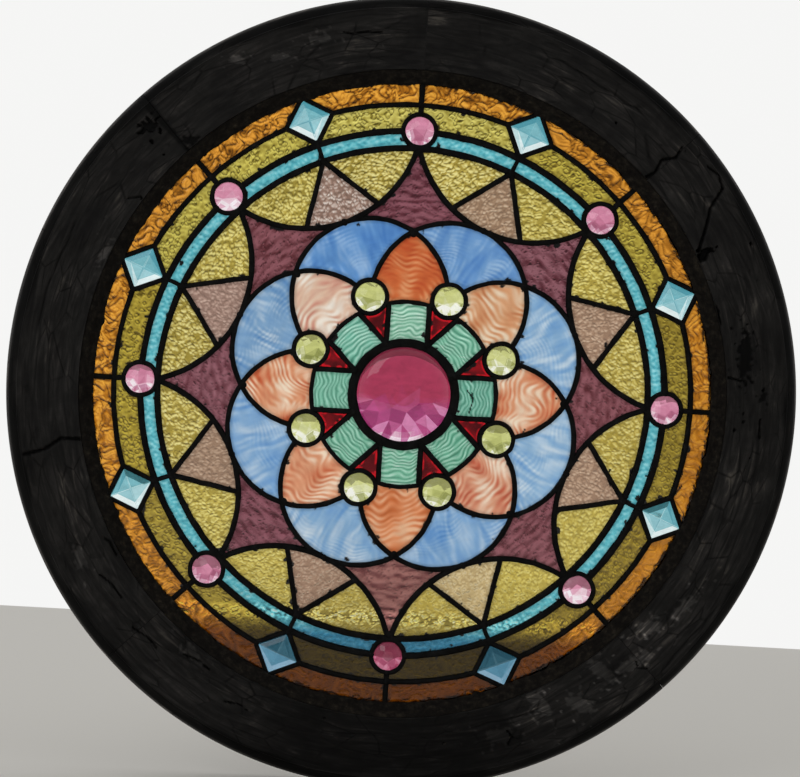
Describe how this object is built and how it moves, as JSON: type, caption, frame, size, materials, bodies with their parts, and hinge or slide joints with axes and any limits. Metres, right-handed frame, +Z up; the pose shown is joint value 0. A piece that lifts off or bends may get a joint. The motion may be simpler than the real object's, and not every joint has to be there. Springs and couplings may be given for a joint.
{
  "type": "round stained glass window",
  "caption": "Round leaded stained glass window with a flower rosette, stars and cut jewels, puttied into a deep round painted wood frame.",
  "frame": {"origin": "on the flat back of the wood frame at its lowest point, half way across the wood, where it is fixed", "axes": "+Z up, +X to the right as seen from the front, +Y towards the back; the front of the window faces -Y"},
  "size_m": [0.711, 0.044, 0.7111],
  "materials": {
    "old_painted_wood": "old near-black paint, cracked and flaked",
    "old_putty": "hard cracked linseed putty",
    "old_lead": "dull dark patina on lead",
    "green_and_red_glass": "teal rippled glass and deep red clear glass",
    "yellow_and_mauve_glass": "yellow and mauve hammered cathedral glass",
    "turquoise_glass": "turquoise cathedral glass",
    "olive_glass": "olive gold rippled glass",
    "amber_glass": "amber rippled glass",
    "centre_jewel_glass": "clear raspberry pressed and cut glass",
    "lime_jewel_glass": "clear yellow green cut glass",
    "pink_jewel_glass": "clear pink cut glass",
    "square_jewel_glass": "clear pale blue cut glass",
    "orange_petal_glass": "orange and cream streaky opalescent glass",
    "blue_petal_glass": "blue and white streaky opalescent glass",
    "purple_star_glass": "burgundy hammered glass"
  },
  "bodies": {
    "root": {"frame_top": "old_painted_wood", "frame_right": "old_painted_wood", "frame_bottom": "old_painted_wood", "frame_left": "old_painted_wood", "putty_bead": "old_putty", "lead_came": "old_lead", "green_and_red_ring": "green_and_red_glass", "yellow_and_mauve_ring": "yellow_and_mauve_glass", "turquoise_ring": "turquoise_glass", "olive_ring": "olive_glass", "amber_ring": "amber_glass", "centre_jewel": "centre_jewel_glass", "lime_jewel_1": "lime_jewel_glass", "lime_jewel_2": "lime_jewel_glass", "lime_jewel_3": "lime_jewel_glass", "lime_jewel_4": "lime_jewel_glass", "lime_jewel_5": "lime_jewel_glass", "lime_jewel_6": "lime_jewel_glass", "lime_jewel_7": "lime_jewel_glass", "lime_jewel_8": "lime_jewel_glass", "pink_jewel_1": "pink_jewel_glass", "pink_jewel_2": "pink_jewel_glass", "pink_jewel_3": "pink_jewel_glass", "pink_jewel_4": "pink_jewel_glass", "pink_jewel_5": "pink_jewel_glass", "pink_jewel_6": "pink_jewel_glass", "pink_jewel_7": "pink_jewel_glass", "pink_jewel_8": "pink_jewel_glass", "square_jewel_1": "square_jewel_glass", "square_jewel_2": "square_jewel_glass", "square_jewel_3": "square_jewel_glass", "square_jewel_4": "square_jewel_glass", "square_jewel_5": "square_jewel_glass", "square_jewel_6": "square_jewel_glass", "square_jewel_7": "square_jewel_glass", "square_jewel_8": "square_jewel_glass", "orange_petal_1": "orange_petal_glass", "orange_petal_2": "orange_petal_glass", "orange_petal_3": "orange_petal_glass", "orange_petal_4": "orange_petal_glass", "orange_petal_5": "orange_petal_glass", "orange_petal_6": "orange_petal_glass", "orange_petal_7": "orange_petal_glass", "orange_petal_8": "orange_petal_glass", "blue_petal_1": "blue_petal_glass", "blue_petal_2": "blue_petal_glass", "blue_petal_3": "blue_petal_glass", "blue_petal_4": "blue_petal_glass", "blue_petal_5": "blue_petal_glass", "blue_petal_6": "blue_petal_glass", "blue_petal_7": "blue_petal_glass", "blue_petal_8": "blue_petal_glass", "purple_star_1": "purple_star_glass", "purple_star_2": "purple_star_glass", "purple_star_3": "purple_star_glass", "purple_star_4": "purple_star_glass", "purple_star_5": "purple_star_glass", "purple_star_6": "purple_star_glass", "purple_star_7": "purple_star_glass", "purple_star_8": "purple_star_glass"}
  },
  "joints": []
}
